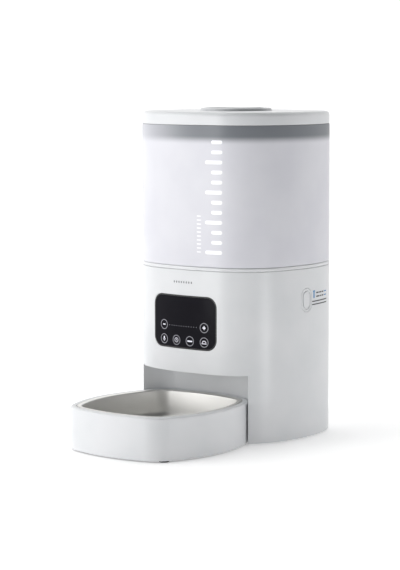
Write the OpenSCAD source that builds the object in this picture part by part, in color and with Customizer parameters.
// Automatic pet feeder with a lift-off food hopper, a motor-driven rotor and a
// pull-out bowl tray. Millimetres, +Z up, front towards -Y. The origin is at the
// middle of the footprint, on the floor.

/* [Body] */
// Width of the body across its sides
body_w = 183; // [170:1:220]
// Depth of the body without the tray
body_d = 174; // [172:1:215]
// Radius of the gently curved front and back
face_r = 200; // [180:5:300]
// Radius of the gently curved sides
side_r = 145; // [140:5:300]
// Radius that blends the sides into the front and back
corner_r = 60; // [40:1:70]
// Wall of the white shells
wall = 2.5; // [2:0.1:3]
// Height of the rubber feet
foot_h = 1.5; // [1:0.1:3]
// Height of the line where the hopper stands on the base
base_top = 178; // [176:1:215]
// Height of the deck's visible ring
ring_h = 4; // [3:0.5:6]
// Clear height above the floor under the overhang
overhang_z = 70; // [60:0.5:85]

/* [Hopper] */
// Height of the frosted tank
tank_h = 141.5; // [118:0.5:200]
// Wall of the frosted tank
tank_wall = 2.2; // [1.8:0.1:3]
// Inner radius of the rotor chamber
chamber_r = 49.5; // [42:0.5:52]
// Depth of the rotor chamber below the base's top
chamber_depth = 36; // [30:1:42]
// Rise of the funnel for each millimetre outward
funnel_slope = 0.5; // [0.3:0.05:0.7]
// Number of vanes on the rotor
vane_count = 6; // [4:1:8]

/* [Lid] */
// Height of the lid's visible side
lid_h = 13; // [10:0.5:18]
// Depth of the plug that goes into the tank
plug_h = 15; // [13:0.5:20]
// Radius of the twist knob
knob_r = 37; // [30:1:44]
// Height that the knob stands above the lid
knob_rise = 3; // [2:0.5:6]
// Turn of the knob from locked to free, in degrees
knob_turn = 90; // [60:5:90]

/* [Tray and bowl] */
// Width of the tray
tray_w = 156; // [140:1:175]
// Depth of the tray
tray_d = 166; // [150:1:190]
// Radius of the tray's curved front and back
tray_face_r = 158; // [120:1:300]
// Radius of the tray's curved sides
tray_side_r = 137; // [120:1:300]
// Radius of the tray's round corners
tray_corner_r = 31; // [20:1:50]
// Height of the tray's top above the floor
tray_top = 43.5; // [36:0.5:55]
// Distance of the tray's centre in front of the body's axis
tray_reach = 122.5; // [110:0.5:140]
// Clearance between the tray and its recess
tray_gap = 2; // [1:0.5:4]
// Width of the tray's rim around the bowl
rim_w = 6.5; // [5:0.5:10]
// Depth of the steel bowl
bowl_depth = 33; // [25:1:38]
// Thickness of the bowl's steel
steel_t = 0.8; // [0.6:0.1:1.5]

/* [Display] */
// Width of the glossy display lens
lens_w = 81; // [65:1:95]
// Height of the glossy display lens
lens_h = 54.5; // [48:0.5:60]
// Corner radius of the lens
lens_r = 11; // [5:0.5:16]
// Height of the lens's centre above the floor
lens_z = 121; // [118:0.5:140]

/* [Drive] */
// Module of the gear teeth
gear_m = 0.9; // [0.8:0.05:1]
// Thickness of each gear's rim
gear_t = 6; // [4:0.5:7]
// Radius of the gear axles
axle_r = 1.5; // [1:0.1:2]
// Radial clearance of the running fits
fit = 0.05; // [0.02:0.01:0.09]
// Radius of the motor's can
motor_r = 14; // [10:0.5:16]
// Length of the motor's can
motor_h = 38; // [28:1:40]

/* [Buttons] */
// Width of the two hopper release buttons
button_w = 17; // [14:0.5:20]
// Height of the two hopper release buttons
button_h = 24; // [20:0.5:30]
// Height of the buttons above the floor
button_z = 142; // [130:1:150]
// Travel of the buttons
button_travel = 3; // [2:0.5:4]

/* [Battery bay] */
// Diameter of one round cell
cell_d = 34; // [30:0.5:36]
// Length of one round cell
cell_l = 61.5; // [50:0.5:64]

/* [Hidden] */
$fn = 48;
eps = 0.5;                  // how far a cut runs past the face it opens
slip = 0.2;                 // gap between pieces that are only dropped in
clear = 0.3;                // gap between pieces on different bodies

// Places along the height
seam_z = base_top - ring_h;
tank_z = base_top + slip;
tank_top = tank_z + tank_h;
lid_z = tank_top + slip;
lid_top = lid_z + lid_h;
well_gap = 1;
chamber_floor_t = 2;
chamber_z = base_top - chamber_depth;
deck_floor_t = 2;
deck_floor_z = chamber_z - well_gap - deck_floor_t;
deck_floor_top = deck_floor_z + deck_floor_t;

// Places along the depth: the body's axis sits behind the footprint's middle
axis_y = (tray_reach + tray_d / 2 - body_d / 2) / 2;
front_y = -body_d / 2;
back_y = body_d / 2;

// Tray outline
tray_floor_t = 2;
tray_wall = 2.5;
rim_t = 3;

// Food path
outlet_w = 42;
outlet_y0 = -50;
outlet_y1 = -20;
spout_y0 = front_y + 8.5;
spout_y1 = spout_y0 + (outlet_y1 - outlet_y0);
chute_t = 2;

// Gear train: each pair is [teeth of the wheel, teeth of the pinion on it]
pinion_teeth = 12;
wheel_1 = [44, 12];
wheel_2 = [40, 14];
output_teeth = 42;
angle_12 = 60;              // from the output axis to gear 2
angle_21 = 150;             // from gear 2 to gear 1
angle_10 = 60;              // from gear 1 to the motor
function reach(a, b) = gear_m * (a + b) / 2;
function polar(r, a) = r * [cos(a), sin(a)];
gear_2_at = polar(reach(output_teeth, wheel_2[1]), angle_12);
gear_1_at = gear_2_at + polar(reach(wheel_2[0], wheel_1[1]), angle_21);
motor_at = gear_1_at + polar(reach(wheel_1[0], pinion_teeth), angle_10);
case_z = 88;
case_t = 2.5;
layer_gap = 1;
layer_z = [for (i = [0:3]) case_z + case_t + 1.5 + i * (gear_t + layer_gap)];
case_top = layer_z[3];
cover_top = case_top + case_t;
case_x = [-31, 34];
case_y = [-23, motor_at[1] + motor_r + 1];
case_r = 6;
shaft_r = 5;
journal_r = 3;
bush_r = 7;
dog_r = 5.5;                // corner radius of the six-sided drive dog
dog_h = 16;
dog_top = chamber_z + dog_h;
encoder_z = cover_top + 4;
encoder_r = 16;
boss_at = [[-25, -10], [27, -10], [-25, 38], [27, 38]];
boss_r = 4;
screw_r = 1.5;
head_r = 2.8;
head_h = 2;

// Display
pcb_t = 1.6;
pcb_y = front_y + 12.5;
pcb_w = 90;
pcb_h = 60;
pcb_hole = [pcb_w / 2 - 3, pcb_h / 2 - 5];
lens_t = 2;
spring_gap = 1.2;
icon_pitch = 17.5;
icon_row_z = [lens_z - 19, lens_z - 4.5];
icon_spots = [for (i = [0:3]) [(i - 1.5) * icon_pitch, icon_row_z[0]],
              for (s = [-1, 1]) [s * 1.5 * icon_pitch, icon_row_z[1]]];

// Battery bay
bay_w = 3 * cell_d + 4;
bay_l = cell_l + 8.5;
bay_h = cell_d + 1.5;
bay_y0 = -8;
bay_t = 2;
cover_t = 4;
cover_top_z = foot_h + cover_t;
door_t = 2;
door_lap = 3;
door_travel = 8;
door_gap = 0.3;

// Feet
foot_r = 6;
foot_at = [[70, -28], [-70, -28], [58, 60], [-58, 60]];
tray_foot_at = [for (x = [-1, 1], y = [-1, 1]) [x * 56, -tray_reach + y * 60]];
cover_screw_at = [[72, 4], [-72, 4], [66, 38], [-66, 38]];
cover_boss_h = 18;

// Buttons
button_x = body_w / 2;
flange_r = button_h / 2 + 2.6;
flange_t = 2;
flange_gap = clear + side_r - sqrt(side_r * side_r - flange_r * flange_r);
flange_x = button_x - wall - flange_gap - flange_t;
guide_r = flange_r + 0.6;
guide_len = button_travel + 14;
face_slip = 0.1;
guide_x = button_x - wall - guide_len;
stem_r = 3.6;
spring_r = [5.5, 7.5];

// Lid works
plug_gap = 0.5;
plug_wall = 2;
plug_z = tank_top - plug_h;
plug_inset = tank_wall + plug_gap;
seal_h = 2.5;
seal_z = lid_z - slip - seal_h - 1.5;
rack_m = 1.25;
rack_teeth = 12;
rack_r = rack_m * rack_teeth / 2;
bolt_h = 4;
bolt_z = plug_z + plug_wall + 1;
bolt_w = 24;
bolt_head = 6;
bolt_head_h = 8;
bolt_travel = rack_r * knob_turn * PI / 180;
bolt_gap = 1;
bolt_x = body_w / 2 - tank_wall - bolt_gap;
lid_t = 3;
knob_recess = 5;
knob_z = lid_top - knob_recess;
dish_wall = 2;
dish_z = knob_z - slip - 2;
knob_top = lid_top + knob_rise;
knob_stem_r = 6;
dry_r = 34;
dry_h = 14;
dry_t = 1.5;

well_r = chamber_r + tank_wall + 1.8;

// Inlet, main board and speaker
jack_z = 24;
jack_hole_r = 5;
main_pcb_y = back_y - 12;
main_pcb_z = 75;
main_post = [34, 24];
post_r = 2.5;
speaker_x = -36;
speaker_z = 130;
speaker_r = 14;
speaker_y = back_y - 18;

// Funnel, guard and rotor
corner_reach = norm(corner_at(body_w / 2, body_d / 2, face_r, side_r, corner_r)) + corner_r;
funnel_edge_h = funnel_slope * (corner_reach - chamber_r) + wall;
funnel_far = body_w / 2 + body_d / 4;
guard_angle = 38;
guard_r = chamber_r + 10;
guard_t = 2;
guard_z = tank_z + wall + funnel_slope * (guard_r - chamber_r) + 0.1;
guard_screw_at = [for (s = [-1, 1]) (guard_r - 5) * [s * sin(guard_angle - 10), -cos(guard_angle - 10)]];
rotor_z = chamber_z + chamber_floor_t + 0.5;
rotor_top = tank_z - 4;
hub_r = 11;
wiper_r0 = hub_r - 4.5;

// Lid details
seal_gap = 0.15;
lid_screw_at = [for (x = [-1, 1], y = [-1, 1]) [x * 52, y * 50]];
well_depth = 5;
grip_w = 20;

// Bowl
bowl_inset = rim_w;
bowl_lip = 4;

// Outline of four gentle arcs joined by four round corners
arc_n = 3;
corner_n = 8;
function corner_at(a, b, rf, rs, rc) =
  let (cf = [0, rf - b], cs = [a - rs, 0], d = cs - cf, l = norm(d), u = d / l,
       x = ((rf - rc) * (rf - rc) - (rs - rc) * (rs - rc) + l * l) / (2 * l),
       h = sqrt((rf - rc) * (rf - rc) - x * x))
  cf + u * x + [-u[1], u[0]] * h;
function arc(c, r, a0, a1, n) =
  [for (i = [0:n - 1]) let (t = a0 + (a1 - a0) * i / n) c + r * [sin(t), -cos(t)]];
function quarter(a, b, rf, rs, rc) =
  let (c = corner_at(a, b, rf, rs, rc), af = atan2(c[0], rf - b - c[1]), as = atan2(c[0] - a + rs, -c[1]))
  concat(arc([0, rf - b], rf, 0, af, arc_n), arc(c, rc, af, as, corner_n),
         arc([a - rs, 0], rs, as, 90, arc_n), [[a, 0]]);
function squircle(a, b, rf, rs, rc) =
  let (q = quarter(a, b, rf, rs, rc), n = len(q))
  concat(q, [for (i = [n - 2:-1:0]) [q[i][0], -q[i][1]]], [for (i = [1:n - 1]) -q[i]],
         [for (i = [n - 2:-1:1]) [-q[i][0], q[i][1]]]);

// Involute gear outline with one tooth centred on the angle "phase"
pressure = 20;
addendum = 0.8;
dedendum = 1.05;
backlash = 0.2;
function involute(p) = tan(p) * 180 / PI - p;
function flank(rho, r, z) =
  90 / z - backlash / (4 * r) * 180 / PI + involute(pressure)
  - involute(acos(min(1, r * cos(pressure) / rho)));
function gear_points(m, z, phase) =
  let (r = m * z / 2, root = r - dedendum * m, tip = r + addendum * m,
       low = max(root + 0.01, r * cos(pressure)), steps = [root, low, r, (r + tip) / 2, tip])
  [for (i = [0:z - 1], s = [-1, 1], k = [0:4])
    let (j = s < 0 ? k : 4 - k, rho = steps[j], a = flank(max(rho, low), r, z))
    polar(rho, phase + i * 360 / z + s * a)];
// Phase of the second gear so that its gap meets the first gear's tooth
function mesh_phase(angle, phase, za, zb) =
  angle + 180 - (0.5 - (angle - phase) * za / 360) * 360 / zb;
output_phase = 0;
gear_2_phase = mesh_phase(angle_12, output_phase, output_teeth, wheel_2[1]);
gear_1_phase = mesh_phase(angle_21, gear_2_phase, wheel_2[0], wheel_1[1]);
motor_phase = mesh_phase(angle_10, gear_1_phase, wheel_1[0], pinion_teeth);

// ---- helpers ----
module placed() { translate([0, axis_y, 0]) children(); }

module slab(z0, z1, inset = 0) {
  half = [body_w / 2 - inset, body_d / 2 - inset];
  translate([0, 0, z0]) linear_extrude(z1 - z0)
    polygon(squircle(half[0], half[1], face_r - inset, side_r - inset, corner_r - inset));
}

module tray_slab(z0, z1, grow = 0) {
  translate([0, -tray_reach, z0]) linear_extrude(z1 - z0)
    polygon(squircle(tray_w / 2 + grow, tray_d / 2 + grow, tray_face_r + grow, tray_side_r + grow,
                     tray_corner_r + grow));
}

module shell(z0, z1, inset, t) {
  difference() {
    slab(z0, z1, inset);
    slab(z0 - eps, z1 + eps, inset + t);
  }
}

module block(x, y, z) {
  translate([x[0], y[0], z[0]]) cube([x[1] - x[0], y[1] - y[0], z[1] - z[0]]);
}

module rod(at, z0, z1, r) { translate([at[0], at[1], z0]) cylinder(h = z1 - z0, r = r); }

module tube(at, z0, z1, ri, ro) {
  difference() {
    rod(at, z0, z1, ro);
    rod(at, z0 - eps, z1 + eps, ri);
  }
}

module rod_x(x0, x1, y, z, r) { translate([x0, y, z]) rotate([0, 90, 0]) cylinder(h = x1 - x0, r = r); }

// Upright bar with round ends, along the width at the button's place
module pill_x(x0, x1, w, h) {
  block([x0, x1], [-w / 2, w / 2], [button_z - (h - w) / 2, button_z + (h - w) / 2]);
  for (s = [-1, 1]) rod_x(x0, x1, 0, button_z + s * (h - w) / 2, w / 2);
}

module rod_y(x, y0, y1, z, r) { translate([x, y0, z]) rotate([-90, 0, 0]) cylinder(h = y1 - y0, r = r); }

// Plate with round corners, standing across the depth
module round_plate_y(w, h, r, y0, y1, z) {
  translate([0, y0, z]) rotate([-90, 0, 0]) linear_extrude(y1 - y0) rounded(w, h, r);
}

module rounded(w, h, r) {
  n = 6;
  polygon([for (q = [0:3], i = [0:n])
    let (sx = (q == 0 || q == 3) ? 1 : -1, sy = q < 2 ? 1 : -1)
    [sx * (w / 2 - r), sy * (h / 2 - r)] + polar(r, q * 90 + i * 90 / n)]);
}

module gear(at, z0, m, teeth, phase, h) {
  translate([at[0], at[1], z0]) linear_extrude(h) polygon(gear_points(m, teeth, phase));
}

module both_sides() {
  children();
  mirror([1, 0, 0]) children();
}

// ---- base: shells ----
module base_housing() color("white") placed() {
  difference() {
    slab(foot_h, seam_z);
    difference() {
      slab(foot_h - eps, seam_z + eps, wall);
      tray_slab(foot_h - 2 * eps, overhang_z + wall, tray_gap + wall);
    }
    tray_slab(foot_h - eps, overhang_z, tray_gap);
    chute_block(outlet_w / 2 + chute_t + slip, chute_t + slip, eps);
    round_plate_y(lens_w, lens_h, lens_r, front_y - eps, pcb_y, lens_z);
    both_sides() pill_x(guide_x, button_x + eps, button_w + 2 * clear, button_h + 2 * clear);
    rod_y(0, back_y - 8, back_y + eps, jack_z, jack_hole_r);
    speaker_holes();
  }
  for (s = [-1, 1], u = [-1, 1]) {
    rod_y(s * pcb_hole[0], front_y + 6, pcb_y, lens_z + u * pcb_hole[1], post_r);
    rod_y(s * main_post[0], main_pcb_y + pcb_t, back_y - wall - 2, main_pcb_z + u * main_post[1], post_r);
  }
  for (p = cover_screw_at) cover_boss(p);
}

// Screw boss with a rib out to the side wall
module cover_boss(p) {
  difference() {
    union() {
      rod(p, cover_top_z, cover_top_z + cover_boss_h, boss_r);
      intersection() {
        block([min(p[0], sign(p[0]) * body_w), max(p[0], sign(p[0]) * body_w)], [p[1] - 1, p[1] + 1],
              [cover_top_z, cover_top_z + cover_boss_h]);
        slab(cover_top_z, cover_top_z + cover_boss_h, wall - eps);
      }
    }
    rod(p, cover_top_z - eps, cover_top_z + 8, screw_r);
  }
}

module deck() color("whitesmoke") placed() {
  difference() {
    union() {
      slab(seam_z + slip, base_top);
      shell(seam_z - 8, seam_z + 1, wall + slip, 2);
      rod([0, 0], deck_floor_z, base_top - 1, well_r + wall);
      for (p = boss_at) rod(p, cover_top, deck_floor_z + 1, boss_r);
    }
    rod([0, 0], deck_floor_top, base_top + eps, well_r);
    rod([0, 0], deck_floor_z - eps, deck_floor_top + eps, shaft_r + 3);
    block([-outlet_w / 2, outlet_w / 2], [outlet_y0, outlet_y1], [deck_floor_z - eps, deck_floor_top + eps]);
    for (p = boss_at) rod(p, cover_top - eps, cover_top + 8, screw_r);
  }
}

module bottom_cover() color("white") placed() {
  difference() {
    slab(foot_h, cover_top_z, wall + slip);
    tray_slab(foot_h - eps, cover_top_z + eps, tray_gap + wall + slip);
    block([-bay_w / 2, bay_w / 2], [bay_y0, bay_y0 + bay_l], [foot_h - eps, cover_top_z + eps]);
    block([-bay_w / 2 - door_lap - door_gap, bay_w / 2 + door_lap + door_gap],
          [bay_y0 - door_lap - door_gap, bay_y0 + bay_l + door_lap + door_travel + door_gap],
          [foot_h - eps, foot_h + door_t + door_gap]);
    for (p = cover_screw_at) rod(p, foot_h - eps, cover_top_z + eps, screw_r);
    for (p = cover_screw_at) rod(p, foot_h - eps, foot_h + head_h, head_r);
  }
}

module rubber_feet() color("#222222") placed() {
  for (p = foot_at) rod(p, 0, foot_h, foot_r);
}

module cover_screws() color("silver") placed() {
  for (p = cover_screw_at) {
    rod(p, foot_h + head_h - 1, cover_top_z + 8, screw_r);
    rod(p, foot_h + 0.4, foot_h + head_h, head_r);
  }
}

module food_chute() color("white") placed() {
  difference() {
    chute_block(outlet_w / 2 + chute_t, chute_t, 0);
    chute_block(outlet_w / 2, 0, eps);
  }
}

// Sloping block from the deck's outlet to the spout in the overhang
module chute_block(half_w, t, past) {
  rise = deck_floor_z - overhang_z;
  lean = (outlet_y0 - spout_y0) / rise;
  translate([-half_w, 0, 0]) rotate([90, 0, 90]) linear_extrude(2 * half_w) polygon([
    [spout_y0 - t - lean * past, overhang_z - past],
    [spout_y1 + t - lean * past, overhang_z - past],
    [outlet_y1 + t + lean * past, deck_floor_z + past],
    [outlet_y0 - t + lean * past, deck_floor_z + past]]);
}

// ---- base: electronics ----
module display_lens() color("#101012") placed() {
  intersection() {
    shell(lens_z - lens_h, lens_z + lens_h, slip, lens_t);
    round_plate_y(lens_w - 2 * slip, lens_h - 2 * slip, lens_r - slip, front_y - eps, pcb_y, lens_z);
  }
}

module display_pcb() color("darkgreen") placed() {
  difference() {
    block([-pcb_w / 2, pcb_w / 2], [pcb_y, pcb_y + pcb_t], [lens_z - pcb_h / 2, lens_z + pcb_h / 2]);
    for (s = [-1, 1], u = [-1, 1]) {
      rod_y(s * pcb_hole[0], pcb_y - eps, pcb_y + pcb_t + eps, lens_z + u * pcb_hole[1], 1.2);
    }
  }
  for (x = [-24, -6, 16]) {
    block([x, x + 9], [pcb_y + pcb_t, pcb_y + pcb_t + 1.6], [lens_z + 4, lens_z + 13]);
  }
}

module led_bar() color("white") placed() {
  block([-1.5 * icon_pitch + 7, 1.5 * icon_pitch - 7], [pcb_y - 4, pcb_y],
        [icon_row_z[1] - 2.5, icon_row_z[1] + 2.5]);
}

// Depth of the lens's back at the distance x from the middle
function lens_back(x) = front_y + face_r - sqrt(face_r * face_r - x * x) + lens_t + spring_gap;
module touch_springs() color("silver") placed() {
  for (p = icon_spots) {
    difference() {
      rod_y(p[0], lens_back(p[0]), pcb_y, p[1], 3.5);
      rod_y(p[0], lens_back(p[0]) - eps, pcb_y + eps, p[1], 2.6);
    }
  }
}

module microphone() color("silver") placed() {
  rod_y(pcb_w / 2 - 14, pcb_y + pcb_t, pcb_y + pcb_t + 2.2, lens_z - 6, 3);
}

module main_pcb() color("darkgreen") placed() {
  block([-38, 38], [main_pcb_y, main_pcb_y + pcb_t], [main_pcb_z - 29, main_pcb_z + 29]);
  for (x = [-34, 24]) block([x, x + 10], [main_pcb_y - 4, main_pcb_y], [58, 72]);
  block([-30, -18], [main_pcb_y - 2, main_pcb_y], [84, 96]);
  block([22, 34], [main_pcb_y - 3, main_pcb_y], [86, 94]);
}

module dc_jack() color("#222222") placed() {
  difference() {
    union() {
      rod_y(0, back_y - 13, back_y - 1, jack_z, jack_hole_r - 0.1);
      block([-5.5, 5.5], [back_y - 15, back_y - wall - 1.5], [jack_z - 6, jack_z + 6]);
    }
    rod_y(0, back_y - 10, back_y + eps, jack_z, 2.8);
  }
  rod_y(0, back_y - 11, back_y - 2, jack_z, 1);
}

module speaker() color("#333333") placed() {
  rod_y(speaker_x, speaker_y, speaker_y + 4, speaker_z, speaker_r);
  rod_y(speaker_x, speaker_y - 5, speaker_y, speaker_z, speaker_r - 4);
}

module speaker_holes() {
  for (ring = [0:2], i = [0:max(0, ring * 6 - 1)]) {
    p = polar(ring * 4, i * 60 / max(1, ring));
    rod_y(speaker_x + p[0], speaker_y + 4, back_y + eps, speaker_z + p[1], 1);
  }
}

// ---- base: gearbox ----
module case_plan(z0, z1, inset) {
  translate([(case_x[0] + case_x[1]) / 2, (case_y[0] + case_y[1]) / 2, z0]) linear_extrude(z1 - z0)
    rounded(case_x[1] - case_x[0] - 2 * inset, case_y[1] - case_y[0] - 2 * inset, case_r - inset);
}

module gearbox_case() color("#d8d8d4") placed() {
  difference() {
    case_plan(case_z, case_top, 0);
    case_plan(case_z + case_t, case_top + eps, 2);
    rod(motor_at, case_z - eps, case_z + case_t + eps, 4);
    rod(gear_1_at, case_z - eps, case_z + case_t + eps, axle_r);
    rod(gear_2_at, case_z - eps, case_z + case_t + eps, axle_r);
    rod([0, 0], case_z + 0.5, case_z + case_t + eps, journal_r + fit);
  }
}

module gearbox_cover() color("#d8d8d4") placed() {
  difference() {
    union() {
      case_plan(case_top, cover_top, 0);
      for (p = boss_at) rod(p, case_top, cover_top, boss_r + 1);
    }
    rod([0, 0], case_top - eps, cover_top + eps, bush_r);
    rod(gear_1_at, case_top - eps, cover_top + eps, axle_r);
    rod(gear_2_at, case_top - eps, cover_top + eps, axle_r);
    for (p = boss_at) rod(p, case_top - eps, cover_top + eps, screw_r + 0.1);
    for (p = boss_at) rod(p, case_top - eps, case_top + 0.5, head_r);
  }
}

module gearbox_screws() color("silver") placed() {
  for (p = boss_at) {
    rod(p, case_top, cover_top + 8, screw_r);
    rod(p, case_top - head_h + 0.5, case_top + 0.5, head_r);
  }
}

module gear_axles() color("silver") placed() {
  rod(gear_1_at, case_z, cover_top, axle_r);
  rod(gear_2_at, case_z, cover_top, axle_r);
}

module output_bush() color("goldenrod") placed() {
  tube([0, 0], case_top, cover_top, shaft_r + fit, bush_r);
}

module motor() color("silver") placed() {
  difference() {
    union() {
      rod(motor_at, case_z - motor_h - 2, case_z - 2, motor_r);
      rod(motor_at, case_z - 2, case_z, motor_r - 4);
    }
    rod(motor_at, case_z - 6, case_z + eps, axle_r + fit);
  }
  for (s = [-1, 1]) {
    block([motor_at[0] + s * 6 - 1, motor_at[0] + s * 6 + 1], [motor_at[1] - 0.3, motor_at[1] + 0.3],
          [case_z - motor_h - 6, case_z - motor_h - 2]);
  }
}

module position_sensor() color("#222222") placed() {
  difference() {
    block([-encoder_r - 6, -encoder_r + 4], [-4, 4], [cover_top, encoder_z + 6]);
    block([-encoder_r - 2, -encoder_r + 4 + eps], [-4 - eps, 4 + eps], [encoder_z - 1, encoder_z + 2.2]);
  }
}

module motor_pinion() color("goldenrod") placed() {
  rod(motor_at, case_z - 5, layer_z[0], axle_r);
  gear(motor_at, layer_z[0], gear_m, pinion_teeth, motor_phase, gear_t);
}

// Wheel on layer "level" with its pinion on the layer above
module wheel_and_pinion(at, level, teeth, phase) {
  difference() {
    union() {
      gear(at, layer_z[level], gear_m, teeth[0], phase, gear_t);
      rod(at, layer_z[level] + gear_t - eps, layer_z[level + 1], gear_m * teeth[1] / 2 - 1);
      gear(at, layer_z[level + 1], gear_m, teeth[1], phase, gear_t);
    }
    rod(at, layer_z[level] - eps, layer_z[level + 1] + gear_t + eps, axle_r + fit);
  }
}

module gear_1() color("ivory") placed() wheel_and_pinion(gear_1_at, 0, wheel_1, gear_1_phase);

module gear_2() color("ivory") placed() wheel_and_pinion(gear_2_at, 1, wheel_2, gear_2_phase);

module output_gear() color("ivory") placed() difference() {
  gear([0, 0], layer_z[2], gear_m, output_teeth, output_phase, gear_t);
  rod([0, 0], layer_z[2] - eps, layer_z[3] + eps, shaft_r);
}

module output_shaft() color("silver") placed() {
  rod([0, 0], case_z + 1, layer_z[2], journal_r);
  rod([0, 0], layer_z[2], chamber_z - 2, shaft_r);
  translate([0, 0, chamber_z - 2]) cylinder(h = dog_top - chamber_z + 2, r = dog_r, $fn = 6);
}

module encoder_disc() color("#222222") placed() difference() {
  rod([0, 0], encoder_z, encoder_z + 1.2, encoder_r);
  rod([0, 0], encoder_z - eps, encoder_z + 2, shaft_r);
  for (i = [0:vane_count - 1]) {
    rotate([0, 0, i * 360 / vane_count + 15])
      block([encoder_r - 4, encoder_r - 1], [-1, 1], [encoder_z - eps, encoder_z + 2]);
  }
}

// ---- base: release buttons ----
module button_guide() {
  intersection() {
    difference() {
      rod_x(guide_x, button_x, 0, button_z, guide_r + 2);
      rod_x(guide_x + 2, button_x + eps, 0, button_z, guide_r);
      rod_x(guide_x - eps, guide_x + 3, 0, button_z, stem_r + clear);
    }
    slab(button_z - button_h, button_z + button_h, wall);
  }
}

module button_guides() color("whitesmoke") placed() both_sides() button_guide();

module release_spring() {
  difference() {
    rod_x(guide_x + 2, flange_x, 0, button_z, spring_r[1]);
    rod_x(guide_x + 2 - eps, flange_x + eps, 0, button_z, spring_r[0]);
  }
}

module release_spring_right() color("silver") placed() release_spring();

module release_spring_left() color("silver") placed() mirror([1, 0, 0]) release_spring();

module release_button() {
  intersection() {
    pill_x(flange_x, button_x + eps, button_w, button_h);
    slab(button_z - button_h, button_z + button_h, face_slip);
  }
  rod_x(flange_x, flange_x + flange_t, 0, button_z, flange_r);
  rod_x(guide_x - 1, flange_x + 1, 0, button_z, stem_r);
}

module release_button_right() color("white") placed() release_button();

module release_button_left() color("white") placed() mirror([1, 0, 0]) release_button();

// ---- base: battery bay ----
module battery_box() color("#e8e8e8") placed() difference() {
  block([-bay_w / 2 - bay_t, bay_w / 2 + bay_t], [bay_y0 - bay_t, bay_y0 + bay_l + bay_t],
        [cover_top_z, cover_top_z + bay_h + bay_t]);
  block([-bay_w / 2, bay_w / 2], [bay_y0, bay_y0 + bay_l], [cover_top_z - eps, cover_top_z + bay_h]);
}

module battery_contacts() color("silver") placed() {
  mid_z = cover_top_z + bay_h / 2;
  for (i = [-1:1]) {
    block([i * cell_d - 8, i * cell_d + 8], [bay_y0, bay_y0 + 0.5], [mid_z - 8, mid_z + 8]);
    block([i * cell_d - 8, i * cell_d + 8], [bay_y0 + bay_l - 0.5, bay_y0 + bay_l], [mid_z - 8, mid_z + 8]);
    difference() {
      rod_y(i * cell_d, bay_y0 + bay_l - 6, bay_y0 + bay_l - 0.5, mid_z, 6);
      rod_y(i * cell_d, bay_y0 + bay_l - 7, bay_y0 + bay_l, mid_z, 4.8);
    }
  }
}

module battery_door() color("white") placed() difference() {
  block([-bay_w / 2 - door_lap, bay_w / 2 + door_lap],
        [bay_y0 - door_lap, bay_y0 + bay_l + door_lap], [foot_h, foot_h + door_t]);
  for (i = [0:3]) {
    block([-12, 12], [bay_y0 + 6 + i * 3, bay_y0 + 7.2 + i * 3], [foot_h - eps, foot_h + 0.8]);
  }
}

// ---- hopper ----
module hopper_tank() color([0.85, 0.87, 0.9, 0.6]) placed() shell(tank_z, tank_top, 0, tank_wall);

module hopper_floor() color("white") placed() {
  far_rise = funnel_slope * (funnel_far - chamber_r);
  difference() {
    union() {
      intersection() {
        slab(tank_z, tank_top - plug_h - 10, tank_wall + 0.1);
        rotate_extrude($fn = 96) polygon([
          [chamber_r, tank_z], [funnel_far, tank_z + far_rise],
          [funnel_far, tank_z + far_rise + wall], [chamber_r, tank_z + wall]]);
      }
      shell(tank_z, tank_z + funnel_edge_h, tank_wall + 0.1, 2);
      tube([0, 0], chamber_z + 1, tank_z + wall, chamber_r, chamber_r + tank_wall);
      rod([0, 0], chamber_z, chamber_z + chamber_floor_t, chamber_r + tank_wall);
      for (p = guard_screw_at) rod(p, tank_z, guard_z, boss_r);
    }
    for (p = guard_screw_at) rod(p, tank_z + 1, guard_z + eps, screw_r);
    rod([0, 0], chamber_z - eps, chamber_z + chamber_floor_t + eps, shaft_r + 3);
    block([-outlet_w / 2, outlet_w / 2], [outlet_y0 + 4, outlet_y1],
          [chamber_z - eps, chamber_z + chamber_floor_t + eps]);
  }
}

module outlet_guard() color("whitesmoke") placed() difference() {
  translate([0, 0, guard_z]) linear_extrude(guard_t) polygon(concat([[0, -12]],
    [for (i = [-4:4]) let (a = i * guard_angle / 4) guard_r * [sin(a), -cos(a)]]));
  for (p = guard_screw_at) rod(p, guard_z - eps, guard_z + guard_t + eps, screw_r);
}

module guard_screws() color("silver") placed() {
  for (p = guard_screw_at) {
    rod(p, tank_z + 1.5, guard_z + guard_t, screw_r);
    rod(p, guard_z + guard_t, guard_z + guard_t + 1.6, head_r);
  }
}

module rotor() color("#9aa7b0") placed() difference() {
  union() {
    rod([0, 0], rotor_z, rotor_top, hub_r);
    translate([0, 0, rotor_top]) cylinder(h = 9, r1 = hub_r, r2 = 4);
    for (i = [0:vane_count - 1]) {
      rotate([0, 0, i * 360 / vane_count])
        block([hub_r - 2, chamber_r - 1], [-1.2, 1.2], [rotor_z, rotor_top]);
    }
  }
  translate([0, 0, rotor_z - eps]) cylinder(h = dog_top - rotor_z + 1 + eps, r = dog_r + clear, $fn = 6);
  wiper_arms(0.02);
}

module rotor_wiper() color("#e07a3f") placed() wiper_arms(0);

module wiper_arms(grow) {
  for (i = [0:1]) {
    rotate([0, 0, i * 180 + 30])
      block([wiper_r0 - grow, chamber_r - 12], [-1 - grow, 1 + grow],
            [rotor_top + 4 - grow, rotor_top + 6 + grow]);
  }
}

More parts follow.
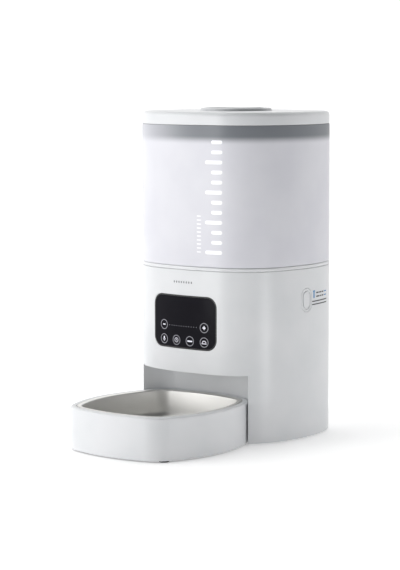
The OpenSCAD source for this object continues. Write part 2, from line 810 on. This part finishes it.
// ---- lid ----
module lid_shell() color("white") placed() {
  difference() {
    union() {
      slab(lid_z, lid_top - 1);
      slab(lid_top - 1, lid_top, 1);
    }
    difference() {
      slab(lid_z - eps, lid_top - lid_t, wall);
      rod([0, 0], dish_z, lid_top, knob_r + dish_wall);
    }
    rod([0, 0], knob_z - slip, lid_top + eps, knob_r + clear);
    rod([0, 0], dish_z - eps, knob_z, knob_stem_r + fit);
  }
  for (p = lid_screw_at) {
    tube(p, plug_z + plug_wall, lid_top - lid_t + eps, screw_r, boss_r);
  }
}

module lid_plug() color("whitesmoke") placed() difference() {
  union() {
    slab(plug_z, lid_z, plug_inset);
    slab(lid_z, lid_z + 2, wall + slip);
  }
  slab(plug_z + plug_wall, lid_z + 2 + eps, plug_inset + plug_wall);
  both_sides() block([0, body_w], [-bolt_w / 2 - clear, bolt_w / 2 + clear],
                     [bolt_z - clear, bolt_z + bolt_head_h + clear]);
  difference() {
    slab(seal_z, seal_z + seal_h, plug_inset - eps);
    slab(seal_z - eps, seal_z + seal_h + eps, plug_inset + 1);
  }
  for (p = lid_screw_at) {
    rod(p, plug_z - eps, plug_z + plug_wall + eps, screw_r + 0.1);
    rod(p, plug_z - eps, plug_z + 1.2, head_r + 0.1);
  }
}

module lid_seal() color("#dfe3e6") placed()
  shell(seal_z + 0.1, seal_z + seal_h - 0.1, tank_wall + seal_gap, plug_gap - seal_gap + 1);

module lid_screws() color("silver") placed() {
  for (p = lid_screw_at) {
    rod(p, plug_z + 0.2, plug_z + 9, screw_r);
    rod(p, plug_z + 0.2, plug_z + 1.2, head_r);
  }
}

module desiccant_box() color("white") placed() difference() {
  rod([0, 0], plug_z - dry_h, plug_z, dry_r);
  rod([0, 0], plug_z - dry_h - eps, plug_z - dry_t, dry_r - dry_t);
}

module desiccant_cover() color("lightgrey") placed() difference() {
  rod([0, 0], plug_z - dry_h - 2, plug_z - dry_h, dry_r);
  for (i = [-3:3]) {
    block([-1, 1] + [i * 6, i * 6], [-14, 14], [plug_z - dry_h - 3, plug_z - dry_h + eps]);
  }
}

module lid_knob() color("white") placed() difference() {
  union() {
    rod([0, 0], knob_z, knob_top - 1, knob_r);
    rod([0, 0], knob_top - 1, knob_top, knob_r - 1);
  }
  for (s = [0, 180]) {
    rotate([0, 0, s]) intersection() {
      rod([0, 0], knob_top - well_depth, knob_top + eps, knob_r - 5);
      block([grip_w / 2, knob_r], [-knob_r, knob_r], [knob_top - well_depth, knob_top + eps]);
    }
  }
}

module knob_pinion() color("ivory") placed() {
  rod([0, 0], bolt_z + bolt_h, knob_z, knob_stem_r);
  gear([0, 0], bolt_z, rack_m, rack_teeth, 90, bolt_h);
}

// Bolt with a rack beside the pinion; it slides towards the lid's middle
module lid_bolt() {
  pitch = PI * rack_m;
  tip_y = rack_r - addendum * rack_m;
  root_y = rack_r + dedendum * rack_m;
  half = pitch / 4 - backlash / 4;
  slant = tan(pressure) * rack_m;
  teeth = ceil(bolt_travel / pitch) + 5;
  rack_x0 = -3 * pitch;
  rack_x1 = rack_x0 + teeth * pitch;
  translate([0, 0, bolt_z]) linear_extrude(bolt_h) polygon(concat(
    [[rack_x0, bolt_w / 2], [rack_x0, root_y]],
    [for (i = [0:teeth - 1], k = [0:3])
      let (x = rack_x0 + (i + 0.5) * pitch, at_root = k == 0 || k == 3,
           w = at_root ? half + slant * dedendum : half - slant * addendum)
      [x + (k < 2 ? -w : w), at_root ? root_y : tip_y]],
    [[rack_x1, root_y], [bolt_x, root_y], [bolt_x, bolt_w / 2]]));
  block([bolt_x - bolt_head, bolt_x], [-bolt_w / 2, bolt_w / 2], [bolt_z, bolt_z + bolt_head_h]);
}

module lid_bolt_right() color("whitesmoke") placed() lid_bolt();

module lid_bolt_left() color("whitesmoke") placed() rotate([0, 0, 180]) lid_bolt();

// ---- tray and bowl ----
module bowl_tray() color("white") placed() difference() {
  union() {
    tray_slab(foot_h, tray_top - 1);
    tray_slab(tray_top - 1, tray_top, -0.8);
  }
  difference() {
    tray_slab(foot_h - eps, tray_top - rim_t, -tray_wall);
    tray_slab(foot_h - 2 * eps, tray_top, -bowl_inset - bowl_lip + tray_wall + 0.6);
  }
  tray_slab(foot_h + tray_floor_t, tray_top + eps, -bowl_inset - bowl_lip + 0.6);
  tray_slab(tray_top - steel_t - 0.4, tray_top + eps, -bowl_inset + 0.8);
}

module tray_feet() color("#222222") placed() {
  for (p = tray_foot_at) rod(p, 0, foot_h, foot_r - 1);
}

module steel_bowl() color("silver") placed() {
  bowl_z = tray_top - bowl_depth;
  difference() {
    union() {
      tray_slab(bowl_z, tray_top, -bowl_inset - bowl_lip);
      tray_slab(tray_top - steel_t, tray_top, -bowl_inset);
    }
    tray_slab(bowl_z + steel_t, tray_top + eps, -bowl_inset - bowl_lip - steel_t);
  }
}

base_housing();
deck();
bottom_cover();
rubber_feet();
cover_screws();
food_chute();
display_lens();
display_pcb();
led_bar();
touch_springs();
microphone();
main_pcb();
dc_jack();
speaker();
gearbox_case();
gearbox_cover();
gearbox_screws();
gear_axles();
output_bush();
motor();
position_sensor();
battery_box();
battery_contacts();
button_guides();
release_spring_right();
release_spring_left();
motor_pinion();
gear_1();
gear_2();
output_gear();
output_shaft();
encoder_disc();
release_button_right();
release_button_left();
battery_door();
hopper_tank();
hopper_floor();
outlet_guard();
guard_screws();
rotor();
rotor_wiper();
lid_shell();
lid_plug();
lid_seal();
lid_screws();
desiccant_box();
desiccant_cover();
lid_knob();
knob_pinion();
lid_bolt_right();
lid_bolt_left();
bowl_tray();
tray_feet();
steel_bowl();
